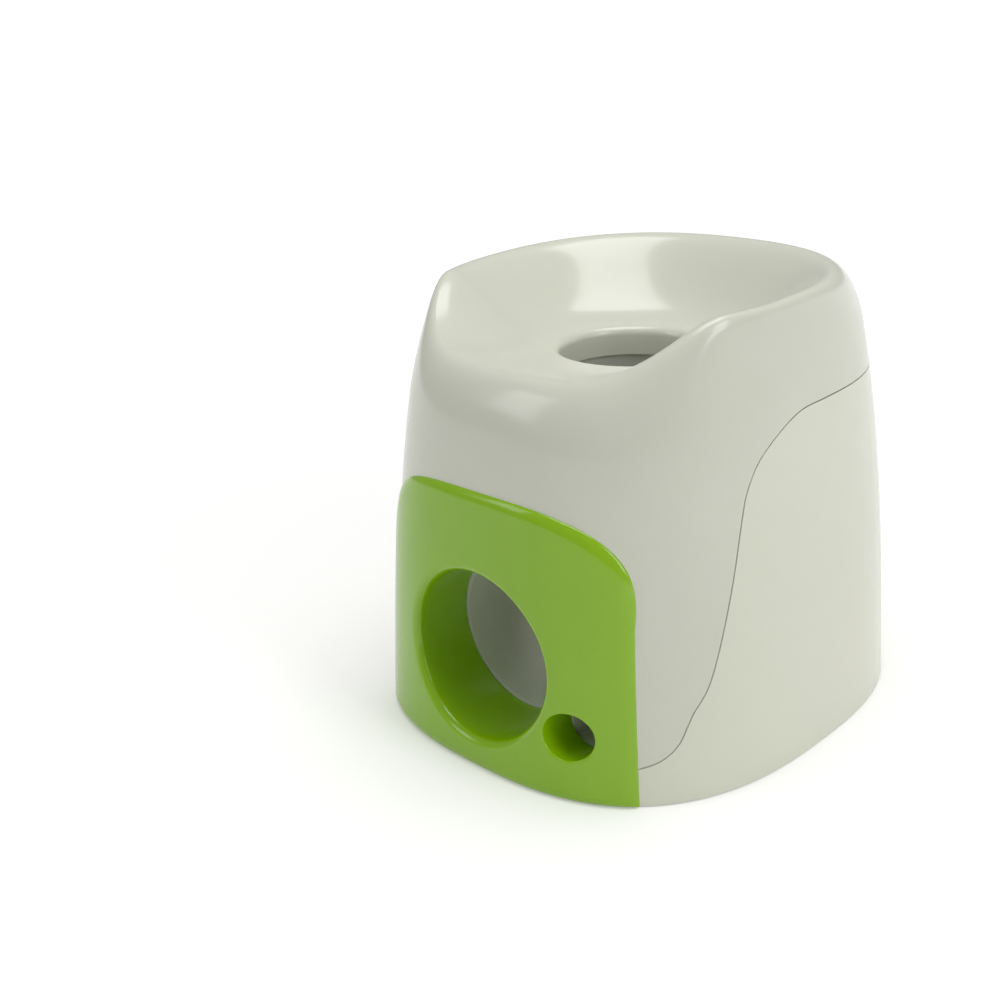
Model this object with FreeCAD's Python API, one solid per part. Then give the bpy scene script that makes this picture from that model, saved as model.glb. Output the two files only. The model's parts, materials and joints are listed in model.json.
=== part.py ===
import FreeCAD, Part
import math
import os

V = FreeCAD.Vector

# Ball drop with treat dispenser: a ball put in the dish on top falls down a
# throat on to a paddle, rolls out of the round tunnel in front, and the paddle
# turns a pocket drum that lets one portion of treats out of the small hole.
# Millimetres. Z is up, the front faces -Y, the origin is under the middle.

# Body
BODY_HALF_X = 117.2        # half width at the base
BODY_HALF_Y = 131.8        # half depth at the base
BODY_SQUARE = 2.64         # superellipse power of the body's plan
WALL = 2.6                 # shell wall
SHELL_LIFT = 0.6           # shell stands this far off the floor
WALL_TOP = 140.0           # up to here the sections are level
RIM_HALF_X = 92.6          # crest of the dish's rim
RIM_HALF_Y = 93.3
RIM_SQUARE = 2.32
RIM_Y = -8.8
RIM_HEIGHT = 228.4         # crest at the back
RIM_TILT = 6.0             # even fall of the crest from the back to the front
RIM_DIP = 26.5             # how far it drops besides at the front
DIP_START = 0.45           # share of the half depth at which it starts to drop
SHOULDER = 33.0            # wall ends this far below the crest
SHOULDER_RISE = 0.63       # share of that over which the wall keeps its lean
SHOULDER_REACH = 6.9       # flat run of the shoulder beside the crest
DISH_FLOOR = 188.0
DISH_REACH = 7.0           # flat run of the dish beside the crest
DISH_STEEP = 0.12          # more of it for each unit of the dish's depth
LIP_REACH = 26.0           # flat run of the dish beside the throat

# Throat and exit
THROAT_R = 37.0
THROAT_Y = -7.7
THROAT_LIP = 4.5
THROAT_END = 173.0
THROAT_KEEP = 12.0         # the upper shell keeps all that lies this near the throat
EXIT_R = 43.9
EXIT_Z = 59.1
TUNNEL_R = 42.2
TUNNEL_WALL = 2.4
TUNNEL_END = -93.0

# Ball chute, an elbow in two halves
CHUTE_R = THROAT_R + WALL + 0.4
CHUTE_WALL = 2.4
CHUTE_BEND = 50.0
CHUTE_TOP = THROAT_END + 7.0
SLOT_LOW = 68.0            # low end of the rear slot the paddle swings in
LUG_R = 5.0
LUG_T = 4.0
CHUTE_LUGS = [(-78, EXIT_Z + CHUTE_R + 6), (38, 140)]

# Seam between upper shell and tub, as (y, z) seen from the side
SEAM = [(-108.6, 19), (-99.4, 23), (-91.7, 31), (-85.3, 45), (-76.3, 60.6), (-65, 97),
        (-55.4, 133), (-50.5, 146), (-41.6, 157.5), (-26.6, 166.7), (-10, 172.4),
        (8, 173.3), (30, 173.5)]
SEAM_GAP = 0.4

# Bezel
BEZEL_PROUD = 2.4
BEZEL_TOP = 142.0
BEZEL_SEAT = 0.15          # gap between bezel and shell
WINDOW_INSET = 9.0         # width of the shell's ledge behind the bezel's edge
BEZEL_OUTLINE = [(84.2, 1.5), (79.8, 77), (77.6, 103), (74, 117), (67, 127.5), (56, 134), (37, 139.3)]
TREAT_R = 12.0
TREAT_X = 55.0
TREAT_Z = 34.0
SPOUT_WALL = 1.6
SPOUT_END = -108.0

# Mechanism
PLATE_X = 44.0             # inner face of the two side brackets
PLATE_T = 3.0
SHAFT_R = 2.5
RUN = 0.06                 # radial running clearance of a shaft
PIVOT_Y = 44.0
PIVOT_Z = 112.0
PADDLE_LEN = 60.0
PADDLE_HALF = 20.0
PADDLE_T = 3.0
PADDLE_REST = 12.0         # degrees below level at rest
HUB_R = 6.0
TAIL_X0 = 34.0             # tail that rests on the stop, right of the blade
TAIL_X1 = 40.0
TAIL_LEN = 16.0
SPRING_X0 = -38.0
SPRING_X1 = -24.0
SPRING_TURNS = 5
SPRING_R = 3.9
SPRING_WIRE_R = 0.7
MODULE = 2.0
TOOTH_TIP = 0.95           # height above the pitch circle, in modules
TOOTH_ROOT = 1.2
SECTOR_TEETH = 40
IDLER_TEETH = 26
PINION_TEETH = 20
GEAR_X = 48.5
GEAR_T = 6.0
SECTOR_HALF = 62.0         # degrees of the sector each side of the idler
IDLER_HOLES = 5
IDLER_HOLE_R = 5.0
IDLER_HOLE_AT = 14.0
DRUM_Y = -56.0
DRUM_Z = 66.0
DRUM_R = 24.0
DRUM_X0 = 58.0
DRUM_X1 = 94.0
POCKET_R = 13.0
POCKET_END = 4.0
OUTER_PLATE_X = 96.5
BUSH_R = 4.0
BUSH_FLANGE = 1.2
CLIP_T = 0.8
CLIP_GAP = 0.2

# Treats
HOPPER_T = 2.0
HOPPER_TOP = 168.0
HOPPER_PLAN = [(56, -76), (80, -76), (89, -50), (91, 20), (82, 60), (64, 88), (40, 103), (-38, 103),
               (-38, 60), (56, 60)]
MOUTH_Z = DRUM_Z + DRUM_R + 1.6
MOUTH_REAR = -40.0
MOUTH_X1 = 84.0
MOUTH_HALF = 13.0
INLET_LOW = 156.0
TROUGH_DEPTH = 11.0
FLOOR_RISE = 0.384         # rise of the hopper floor towards the rear

# Rear door
DOOR_HALF = 34.0
DOOR_LOW = 128.0
DOOR_HIGH = 165.0
DOOR_GAP = 0.5
DOOR_CORNER = 6.0
PIN_R = 1.25
KNUCKLE_R = 3.2
PIN_Z = DOOR_LOW - 1.0
DOOR_KNUCKLES = [(-26, -18), (18, 26)]
TUB_KNUCKLES = [(-34, -26.4), (-17.6, 17.6), (26.4, 34)]
LATCH_TRAVEL = 4.0
LATCH_HALF = 9.0
LATCH_TAB = 5.0
LATCH_CLEAR = 1.0
LATCH_LOW = DOOR_HIGH - 20.0
TAB_LOW = 152.0
TAB_HIGH = 157.0
LATCH_WIRE_R = 0.35
LATCH_COIL_R = 1.6
LATCH_TURNS = 4
LEDGE_TOP = 136.0          # ledge on the door that the latch spring stands on
SEAL_OUT = 4.0
SEAL_IN = 1.0
SEAL_T = 1.15

# Base and feet
PLATE_LOW = 3.0
PLATE_THICK = 2.6
FOOT_R = 9.0
FOOT_X = 68.0
FOOT_Y = 80.0
SCREW_R = 1.5
SCREW_HEAD_R = 2.9
HEAD_T = 2.0
BASE_SCREW_LEN = 10.0
BRACKET_SCREW_LEN = 8.0
BOSS_R = 3.6
BOSS_HEIGHT = 10.0
FOOT_STEM_R = 3.0
FOOT_BULB = 1.5
FRAME_LOW = PLATE_LOW + PLATE_THICK
FLANGE = 12.0
BRACKET_SCREW_X = PLATE_X + 8.0
BRACKET_SCREWS = (-38, 6, 50)
OUTER_SCREW_X = OUTER_PLATE_X - 6.0
OUTER_SCREWS = (DRUM_Y - 8, DRUM_Y + 8)
FEET = [(x, y) for x in (-FOOT_X, FOOT_X) for y in (-FOOT_Y, FOOT_Y)]
BASE_SCREWS = [(x, y) for x in (-98, 98) for y in (-30, 50)]
FIT = 0.3                  # seat gap between fixed pieces

AROUND = 96                # control points round each section
FAR = 400.0


def save(name, shape):
    os.makedirs("parts", exist_ok=True)
    shape.exportStep("parts/" + name + ".step")
    box = shape.optimalBoundingBox(False)
    print(name, len(shape.Solids), shape.isValid(), round(shape.Volume),
          [round(v, 1) for v in (box.XMin, box.XMax, box.YMin, box.YMax, box.ZMin, box.ZMax)])


def merge(shapes):
    first = shapes[0]
    rest = shapes[1:]
    return first.fuse(rest).removeSplitter() if rest else first


def box(x0, x1, y0, y1, z0, z1):
    return Part.makeBox(x1 - x0, y1 - y0, z1 - z0, V(x0, y0, z0))


def rod(r, x0, x1, y, z):
    return Part.makeCylinder(r, x1 - x0, V(x0, y, z), V(1, 0, 0))


def along_y(r, y0, y1, x, z):
    return Part.makeCylinder(r, y1 - y0, V(x, y0, z), V(0, 1, 0))


def upright(r, z0, z1, x, y):
    return Part.makeCylinder(r, z1 - z0, V(x, y, z0))


def side_prism(points, x0, x1):
    """Prism with its outline in the side view, as (y, z)."""
    corners = [V(x0, y, z) for y, z in points]
    wire = Part.makePolygon(corners + corners[:1])
    return Part.Face(wire).extrude(V(x1 - x0, 0, 0))


def plan_prism(points, z0, z1):
    corners = [V(x, y, z0) for x, y in points]
    wire = Part.makePolygon(corners + corners[:1])
    return Part.Face(wire).extrude(V(0, 0, z1 - z0))


def round_box(x0, x1, y0, y1, z0, z1, r):
    """Box with its four edges along Y rounded."""
    block = box(x0, x1, y0, y1, z0, z1)
    edges = [e for e in block.Edges if abs(e.tangentAt(e.FirstParameter).y) > 0.9]
    return block.makeFillet(r, edges)


# Outer form of the body

def half_x(z):
    s = z / 200.0
    return BODY_HALF_X * (1 - 0.10 * s - 0.08 * s ** 3)


def half_y(z):
    s = z / 200.0
    return BODY_HALF_Y * (1 - 0.07 * s - 0.08 * s ** 3)


def superellipse(angle, a, b, power):
    c = abs(math.cos(angle) / a) ** power
    s = abs(math.sin(angle) / b) ** power
    r = (c + s) ** (-1.0 / power)
    return r * math.cos(angle), r * math.sin(angle)


def wall_point(angle, z):
    x, y = superellipse(angle, half_x(z), half_y(z), BODY_SQUARE)
    return V(x, y, z)


def smooth(u):
    u = min(max(u, 0.0), 1.0)
    return u * u * (3 - 2 * u)


def bezier(p0, p1, p2, p3, t):
    s = 1 - t
    return p0 * s ** 3 + p1 * (3 * t * s * s) + p2 * (3 * t * t * s) + p3 * t ** 3


def section_points(angle):
    """Outer skin from the base up the wall, over the rim and into the throat."""
    cx, cy = superellipse(angle, RIM_HALF_X, RIM_HALF_Y, RIM_SQUARE)
    forward = -cy / RIM_HALF_Y
    drop = RIM_TILT * (1 + forward) / 2 + RIM_DIP * smooth((forward - DIP_START) / (1 - DIP_START))
    crest = V(cx, cy + RIM_Y, RIM_HEIGHT - drop)
    out = V(cx, cy, 0)
    out.normalize()
    top = crest.z - SHOULDER
    points = [wall_point(angle, z) for z in (SHELL_LIFT, 8, 25, 45, 65, 85, 105, 123, WALL_TOP)]
    for u in (0.35, 0.7):
        points.append(wall_point(angle, WALL_TOP + u * (top - WALL_TOP)))
    wall_end = wall_point(angle, top)
    lean = (wall_end - wall_point(angle, top - 4)) * 0.25
    reach = wall_end + lean * (SHOULDER * SHOULDER_RISE)
    for i in range(9):
        points.append(bezier(wall_end, reach, crest + out * SHOULDER_REACH, crest, i / 8.0))
    ray = V(math.cos(angle), math.sin(angle), 0)
    lip = V(0, THROAT_Y, DISH_FLOOR) + ray * (THROAT_R + THROAT_LIP)
    dish_reach = DISH_REACH + DISH_STEEP * (crest.z - DISH_FLOOR)
    for i in range(1, 9):
        points.append(bezier(crest, crest - out * dish_reach, lip + ray * LIP_REACH, lip, i / 8.0))
    for turn in (30, 60, 90):
        t = math.radians(turn)
        points.append(V(0, THROAT_Y, DISH_FLOOR - THROAT_LIP * (1 - math.cos(t)))
                      + ray * (THROAT_R + THROAT_LIP * (1 - math.sin(t))))
    lip_low = DISH_FLOOR - THROAT_LIP
    for i in (1, 2, 3):
        z = lip_low + (THROAT_END - lip_low) * i / 3.0
        points.append(V(0, THROAT_Y, z) + ray * THROAT_R)
    return points


def skin_net(offset):
    """Control net of the skin, moved outwards along its normals by offset."""
    net = [section_points(2 * math.pi * i / AROUND) for i in range(AROUND)]
    rows = len(net[0])
    moved = []
    for i in range(AROUND):
        line = []
        for j in range(rows):
            across = net[(i + 1) % AROUND][j] - net[i - 1][j]
            upward = net[i][min(j + 1, rows - 1)] - net[i][max(j - 1, 0)]
            normal = across.cross(upward)
            if j == 0 or j == rows - 1:
                normal.z = 0
            normal.normalize()
            line.append(net[i][j] + normal * offset)
        moved.append(line)
    return moved


def skin_face(offset):
    net = skin_net(offset)
    count = len(net[0])
    v_knots = count - 3
    surface = Part.BSplineSurface()
    surface.buildFromPolesMultsKnots(
        net, [1] * (AROUND + 1), [4] + [1] * (v_knots - 1) + [4],
        [float(k) for k in range(AROUND + 1)], [float(k) for k in range(v_knots + 1)],
        True, False, 3, 3)
    return surface.toShape()


def skin_solid(offset_out, offset_in):
    """Wall between two offsets of the skin, closed by flat rings at its ends."""
    outer = skin_face(offset_out)
    inner = skin_face(offset_in)
    rings = [Part.makeFace(list(pair), "Part::FaceMakerBullseye")
             for pair in zip(ends_of(outer), ends_of(inner))]
    shell = Part.makeShell([outer, inner] + rings)
    shell.sewShape()
    solid = Part.makeSolid(shell.Shells[0])
    solid.fix(0.01, 0.01, 0.01)
    return solid


def ends_of(face):
    """Base ring and throat ring of a skin, as wires."""
    rings = [e for e in face.Edges if e.isClosed()]
    rings.sort(key=lambda e: e.BoundBox.DiagonalLength)
    return Part.Wire([rings[-1]]), Part.Wire([rings[0]])


def seam_edge(shift):
    """Seam curve in the side view, moved up and forwards by shift."""
    points = [V(0, y, z) for y, z in SEAM]
    curve = Part.BSplineCurve()
    curve.interpolate(points)
    moved = []
    steps = 60
    for i in range(steps + 1):
        u = curve.FirstParameter + (curve.LastParameter - curve.FirstParameter) * i / steps
        tangent = curve.tangent(u)[0]
        moved.append(curve.value(u) + V(0, -tangent.z, tangent.y) * shift)
    line = Part.BSplineCurve()
    line.interpolate(moved)
    return line.toShape()


def seam_region(shift, upper):
    """Half space above or below the seam, as a prism along X."""
    edge = seam_edge(shift)
    first = edge.Vertexes[0].Point
    last = edge.Vertexes[-1].Point
    rear = V(0, FAR, last.z)
    front = V(0, -FAR, first.z)
    z = FAR if upper else -FAR
    loop = Part.makePolygon([last, rear, V(0, FAR, z), V(0, -FAR, z), front, first])
    wire = Part.Wire([edge] + loop.Edges)
    face = Part.Face(wire)
    face.translate(V(-FAR, 0, 0))
    return face.extrude(V(2 * FAR, 0, 0))


def front_y(x, z, proud=0.0):
    """Y of the front skin at a place, for a skin moved out by proud."""
    a = half_x(z) + proud
    b = half_y(z) + proud
    return -b * (1 - min(abs(x) / a, 0.999) ** BODY_SQUARE) ** (1 / BODY_SQUARE)


def rear_y(x, z):
    return -front_y(x, z)


# Shells

def bezel_prism(inset=0.0):
    right = [V(x - inset, 0, z) for x, z in BEZEL_OUTLINE]
    left = [V(-p.x, 0, p.z) for p in reversed(right)]
    right[0].z = SHELL_LIFT
    left[-1].z = SHELL_LIFT
    curve = Part.BSplineCurve()
    curve.interpolate(right + [V(0, 0, BEZEL_TOP - inset)] + left)
    edge = curve.toShape()
    close = Part.makeLine(left[-1], right[0])
    face = Part.Face(Part.Wire([edge, close]))
    face.translate(V(0, -160, 0))
    return face.extrude(V(0, 100, 0))


def exit_bore(r):
    return along_y(r, -170, TUNNEL_END + 8, 0, EXIT_Z)


def spout_bore(r):
    return along_y(r, -170, SPOUT_END + 6, TREAT_X, TREAT_Z)


def make_shells():
    wall = skin_solid(0, -WALL)
    wall = wall.cut(exit_bore(TUNNEL_R + TUNNEL_WALL + FIT)).cut(spout_bore(TREAT_R + SPOUT_WALL + FIT))
    throat = upright(THROAT_R + THROAT_KEEP, 100, 250, 0, THROAT_Y)
    below = seam_region(0, False).cut(throat)
    below_gap = seam_region(SEAM_GAP, False).cut(throat)
    upper = wall.cut(below_gap).cut(bezel_prism(WINDOW_INSET))
    tub = wall.common(below)
    tub = tub.cut(door_block(DOOR_GAP))
    knuckles = [rod(KNUCKLE_R, x0, x1, pin_y(), PIN_Z) for x0, x1 in TUB_KNUCKLES]
    webs = [box(x0, x1, rear_y(max(abs(x0), x1), PIN_Z) - WALL / 2, pin_y(), PIN_Z - KNUCKLE_R, PIN_Z)
            for x0, x1 in TUB_KNUCKLES]
    bosses = [upright(BOSS_R, FRAME_LOW, FRAME_LOW + BOSS_HEIGHT, x, y) for x, y in BASE_SCREWS]
    webs += [boss_rib(x, y) for x, y in BASE_SCREWS]
    tub = tub.fuse(knuckles + webs + bosses)
    tub = tub.cut(rod(PIN_R + RUN, -40, 40, pin_y(), PIN_Z))
    for x, y in BASE_SCREWS:
        tub = tub.cut(upright(SCREW_R + RUN, PLATE_LOW, FRAME_LOW + BOSS_HEIGHT - 2, x, y))
    return upper, tub


def boss_rib(x, y):
    """Rib that joins a screw boss to the wall beside it."""
    reach = 1.0 if x > 0 else -1.0
    wall_x = half_x(8) * (1 - (abs(y) / half_y(8)) ** BODY_SQUARE) ** (1 / BODY_SQUARE) - WALL + 0.5
    ends = sorted((x, reach * wall_x))
    return box(ends[0], ends[1], y - 1.2, y + 1.2, FRAME_LOW, FRAME_LOW + BOSS_HEIGHT)


def make_bezel():
    plate = skin_solid(BEZEL_PROUD, BEZEL_SEAT).common(bezel_prism())
    plate = max(plate.Solids, key=lambda s: s.Volume)
    front = front_y(0, EXIT_Z, BEZEL_PROUD)
    sleeve = along_y(TUNNEL_R + TUNNEL_WALL, front + 1.2, TUNNEL_END, 0, EXIT_Z)
    spout_front = front_y(TREAT_X + TREAT_R, TREAT_Z, BEZEL_PROUD)
    spout = along_y(TREAT_R + SPOUT_WALL, spout_front + 0.2, SPOUT_END, TREAT_X, TREAT_Z)
    body = plate.fuse([sleeve, spout])
    tunnel = Part.makeCone(EXIT_R, TUNNEL_R, TUNNEL_END - front, V(0, front, EXIT_Z), V(0, 1, 0))
    mouth = along_y(EXIT_R, -170, front, 0, EXIT_Z)
    body = body.cut(tunnel.fuse(mouth)).cut(along_y(TREAT_R, -170, SPOUT_END, TREAT_X, TREAT_Z))
    return body


# Ball path

def elbow(r):
    """Round elbow from the throat to the tunnel."""
    bend_y = THROAT_Y - CHUTE_BEND
    bend_z = EXIT_Z + CHUTE_BEND
    drop = upright(r, bend_z, CHUTE_TOP, 0, THROAT_Y)
    run = along_y(r, TUNNEL_END + FIT, bend_y, 0, EXIT_Z)
    disc = Part.Face(Part.Wire([Part.makeCircle(r, V(0, THROAT_Y, bend_z))]))
    turn = disc.revolve(V(0, bend_y, bend_z), V(1, 0, 0), -90)
    return drop.fuse([turn, run])


def make_chute():
    body = elbow(CHUTE_R + CHUTE_WALL).cut(elbow(CHUTE_R))
    slot = box(-PADDLE_HALF - 3, PADDLE_HALF + 3, 0, 60, SLOT_LOW, PIVOT_Z + HUB_R + 3)
    body = body.cut(slot)
    halves = []
    for side in (-1, 1):
        keep = box(0, side * 60, -120, 60, 0, 200) if side > 0 else box(-60, 0, -120, 60, 0, 200)
        half = body.common(keep)
        lugs = []
        for y, z in CHUTE_LUGS:
            lug = rod(LUG_R, 0, LUG_T, y, z) if side > 0 else rod(LUG_R, -LUG_T, 0, y, z)
            lugs.append(lug.cut(rod(SCREW_R + RUN, -LUG_T, LUG_T, y, z)))
        half = half.fuse(lugs).cut(elbow(CHUTE_R))
        halves.append(half)
    return halves


def turned(shape, degrees):
    """Shape turned about the paddle's pivot."""
    copy = shape.copy()
    copy.rotate(V(0, PIVOT_Y, PIVOT_Z), V(1, 0, 0), degrees)
    return copy


def make_paddle():
    tip = PIVOT_Y - PADDLE_LEN
    blade = box(-PADDLE_HALF, PADDLE_HALF, tip + PADDLE_HALF, PIVOT_Y - 2, PIVOT_Z - PADDLE_T / 2,
                PIVOT_Z + PADDLE_T / 2)
    nose = upright(PADDLE_HALF, PIVOT_Z - PADDLE_T / 2, PIVOT_Z + PADDLE_T / 2, 0, tip + PADDLE_HALF)
    rims = [box(x, x + PADDLE_T, tip + PADDLE_HALF, PIVOT_Y, PIVOT_Z - 6, PIVOT_Z) for x in (-15, 12)]
    hub = rod(HUB_R, -PADDLE_HALF, PADDLE_HALF, PIVOT_Y, PIVOT_Z)
    tail_hub = rod(HUB_R - 1.5, PADDLE_HALF, TAIL_X1, PIVOT_Y, PIVOT_Z)
    tail = box(TAIL_X0, TAIL_X1, PIVOT_Y, PIVOT_Y + TAIL_LEN, PIVOT_Z - 2, PIVOT_Z + 2)
    body = merge([blade, nose, hub, tail_hub, tail] + rims)
    body = body.cut(rod(SHAFT_R, -FAR, FAR, PIVOT_Y, PIVOT_Z))
    return turned(body, PADDLE_REST)


def gear(teeth, x0, x1, y, z, phase, first=0, count=None):
    """Spur gear on an axis along X, with straight-flanked teeth."""
    pitch = MODULE * teeth / 2.0
    root = pitch - TOOTH_ROOT * MODULE
    tip = pitch + TOOTH_TIP * MODULE
    body = rod(root, x0, x1, y, z)
    step = 2 * math.pi / teeth
    pieces = []
    for k in range(first, first + (count or teeth)):
        mid = phase + k * step
        corners = []
        for r, share in ((root - 0.4, 0.33), (pitch, 0.235), (tip, 0.11)):
            corners.append((r, share * step))
        outline = [(r, mid - w) for r, w in corners] + [(r, mid + w) for r, w in reversed(corners)]
        pieces.append(side_prism([(y + r * math.cos(t), z + r * math.sin(t)) for r, t in outline], x0, x1))
    return body.fuse(pieces).removeSplitter()


def idler_centre():
    """Centre that meshes with the sector and with the drum's pinion."""
    r0 = MODULE * (SECTOR_TEETH + IDLER_TEETH) / 2.0
    r1 = MODULE * (IDLER_TEETH + PINION_TEETH) / 2.0
    dy = DRUM_Y - PIVOT_Y
    dz = DRUM_Z - PIVOT_Z
    span = math.hypot(dy, dz)
    along = (r0 * r0 - r1 * r1 + span * span) / (2 * span)
    aside = math.sqrt(r0 * r0 - along * along)
    return (PIVOT_Y + (dy * along - dz * aside) / span, PIVOT_Z + (dz * along + dy * aside) / span)


def make_gears():
    iy, iz = idler_centre()
    to_idler = math.atan2(iz - PIVOT_Z, iy - PIVOT_Y)
    x1 = GEAR_X + GEAR_T
    full = gear(SECTOR_TEETH, GEAR_X, x1, PIVOT_Y, PIVOT_Z, to_idler)
    keep = []
    reach = MODULE * (SECTOR_TEETH / 2.0 + 10)
    for i in range(13):
        t = to_idler + math.radians(SECTOR_HALF * (i / 6.0 - 1))
        keep.append((PIVOT_Y + reach * math.cos(t), PIVOT_Z + reach * math.sin(t)))
    wedge = side_prism([(PIVOT_Y, PIVOT_Z)] + keep, GEAR_X, x1)
    hub = rod(HUB_R + 2, GEAR_X, x1, PIVOT_Y, PIVOT_Z)
    sector = full.common(wedge).fuse(hub).cut(rod(SHAFT_R, -FAR, FAR, PIVOT_Y, PIVOT_Z))
    idler_step = 2 * math.pi / IDLER_TEETH
    idler_phase = to_idler + math.pi + idler_step / 2
    idler = gear(IDLER_TEETH, GEAR_X, x1, iy, iz, idler_phase)
    idler = idler.cut(rod(SHAFT_R + RUN, -FAR, FAR, iy, iz))
    for i in range(IDLER_HOLES):
        t = 2 * math.pi * i / IDLER_HOLES
        hole_y = iy + IDLER_HOLE_AT * math.cos(t)
        hole_z = iz + IDLER_HOLE_AT * math.sin(t)
        idler = idler.cut(rod(IDLER_HOLE_R, GEAR_X, x1, hole_y, hole_z))
    to_drum = math.atan2(DRUM_Z - iz, DRUM_Y - iy)
    offset = ((to_drum - idler_phase) / idler_step) % 1.0
    pinion_step = 2 * math.pi / PINION_TEETH
    pinion_phase = to_drum + math.pi + (offset - 0.5) * pinion_step
    pinion = gear(PINION_TEETH, GEAR_X, x1, DRUM_Y, DRUM_Z, pinion_phase)
    pinion = pinion.cut(rod(SHAFT_R, -FAR, FAR, DRUM_Y, DRUM_Z))
    return sector, idler, pinion


def make_drum():
    """Dosing drum: a solid cylinder with one pocket, which faces up at rest."""
    drum = rod(DRUM_R, DRUM_X0, DRUM_X1, DRUM_Y, DRUM_Z)
    pocket = rod(POCKET_R, DRUM_X0 + POCKET_END, DRUM_X1 - POCKET_END, DRUM_Y, DRUM_Z + DRUM_R)
    return drum.cut(pocket).cut(rod(SHAFT_R, -FAR, FAR, DRUM_Y, DRUM_Z))


def make_bracket(side):
    """Upright plate beside the chute with the bearings of the shafts."""
    outline = [(-48, FRAME_LOW), (-48, 44), (-70, 52), (-70, 84), (-30, 118), (34, 128), (62, 120),
               (62, FRAME_LOW)]
    x0, x1 = (PLATE_X, PLATE_X + PLATE_T) if side > 0 else (-PLATE_X - PLATE_T, -PLATE_X)
    plate = side_prism(outline, x0, x1)
    near, far = (x0, x0 + FLANGE) if side > 0 else (x1 - FLANGE, x1)
    foot = box(near, far, -48, 62, FRAME_LOW, FRAME_LOW + PLATE_T)
    body = plate.fuse(foot)
    holes = [(PIVOT_Y, PIVOT_Z, BUSH_R)]
    if side > 0:
        iy, iz = idler_centre()
        holes += [(DRUM_Y, DRUM_Z, BUSH_R), (iy, iz, SHAFT_R)]
    for y, z, r in holes:
        body = body.cut(rod(r, -FAR, FAR, y, z))
    body = body.cut(rod(18, -FAR, FAR, 10, 40))
    for y in BRACKET_SCREWS:
        body = body.cut(upright(SCREW_R + RUN, 0, 20, side * BRACKET_SCREW_X, y))
    return body


def make_outer_bracket():
    outline = [(DRUM_Y - 14, FRAME_LOW), (DRUM_Y - 9, MOUTH_Z - FIT), (DRUM_Y + 9, MOUTH_Z - FIT),
               (DRUM_Y + 14, FRAME_LOW)]
    plate = side_prism(outline, OUTER_PLATE_X, OUTER_PLATE_X + PLATE_T)
    foot = box(OUTER_PLATE_X - 12, OUTER_PLATE_X + PLATE_T, DRUM_Y - 14, DRUM_Y + 14, FRAME_LOW,
               FRAME_LOW + PLATE_T)
    body = plate.fuse(foot).cut(rod(BUSH_R, -FAR, FAR, DRUM_Y, DRUM_Z))
    for y in OUTER_SCREWS:
        body = body.cut(upright(SCREW_R + RUN, 0, 20, OUTER_SCREW_X, y))
    return body


def bush(x0, x1, y, z, flange_at):
    """Flanged plastic bush pressed into a bracket."""
    body = rod(BUSH_R, x0, x1, y, z)
    f0 = x0 - BUSH_FLANGE if flange_at < 0 else x1
    body = body.fuse(rod(BUSH_R + 2, f0, f0 + BUSH_FLANGE, y, z))
    return body.cut(rod(SHAFT_R + RUN, -FAR, FAR, y, z))


def clip(x, y, z):
    """Snap ring in its place on a shaft, open downwards."""
    ring = rod(SHAFT_R + 2.2, x, x + CLIP_T, y, z)
    ring = ring.cut(rod(SHAFT_R, -FAR, FAR, y, z))
    return ring.cut(box(x, x + CLIP_T, y - 1.5, y + 1.5, z - 8, z - SHAFT_R + 0.5))


def screw(x, y, z_head, length):
    """Pan head screw, head down, shank up."""
    low = z_head - HEAD_T
    head = upright(SCREW_HEAD_R, low, z_head, x, y)
    shank = upright(SCREW_R, z_head, z_head + length, x, y)
    cross = box(x - 1.8, x + 1.8, y - 0.4, y + 0.4, low, low + 1)
    cross = cross.fuse(box(x - 0.4, x + 0.4, y - 1.8, y + 1.8, low, low + 1))
    return head.fuse(shank).cut(cross)


def chute_screw(y, z):
    """Screw through the two lugs of the chute halves."""
    head = rod(SCREW_HEAD_R, LUG_T, LUG_T + 2, y, z)
    shank = rod(SCREW_R, -LUG_T, LUG_T, y, z)
    slot = box(LUG_T + 1, LUG_T + 2, y - 0.4, y + 0.4, z - 2, z + 2)
    return head.fuse(shank).cut(slot)


def make_spring():
    """Torsion spring round the paddle shaft, left of the paddle."""
    rise = (SPRING_X1 - SPRING_X0) / SPRING_TURNS
    helix = Part.makeHelix(rise, SPRING_X1 - SPRING_X0, SPRING_R)
    wire = Part.Wire(helix.Edges)
    start = wire.Edges[0].valueAt(wire.Edges[0].FirstParameter)
    tangent = wire.Edges[0].tangentAt(wire.Edges[0].FirstParameter)
    ring = Part.Wire([Part.makeCircle(SPRING_WIRE_R, start, tangent)])
    coil = wire.makePipeShell([ring], True, True)
    coil.rotate(V(0, 0, 0), V(0, 1, 0), 90)
    coil.translate(V(SPRING_X0, PIVOT_Y, PIVOT_Z))
    return coil


# Treats

def hopper_block(inset, floor_up):
    face = Part.Face(Part.makePolygon([V(x, y, 60) for x, y in HOPPER_PLAN + HOPPER_PLAN[:1]]))
    if inset:
        face = face.makeOffset2D(-inset)
        face = Part.Face(face) if face.ShapeType == "Wire" else face
    block = face.extrude(V(0, 0, 200))
    low = MOUTH_Z + floor_up
    rear = 140.0
    ramp = [(-120, low), (MOUTH_REAR, low), (rear, low + FLOOR_RISE * (rear - MOUTH_REAR)),
            (rear, HOPPER_TOP), (-120, HOPPER_TOP)]
    return block.common(side_prism(ramp, -100, 120))


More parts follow.
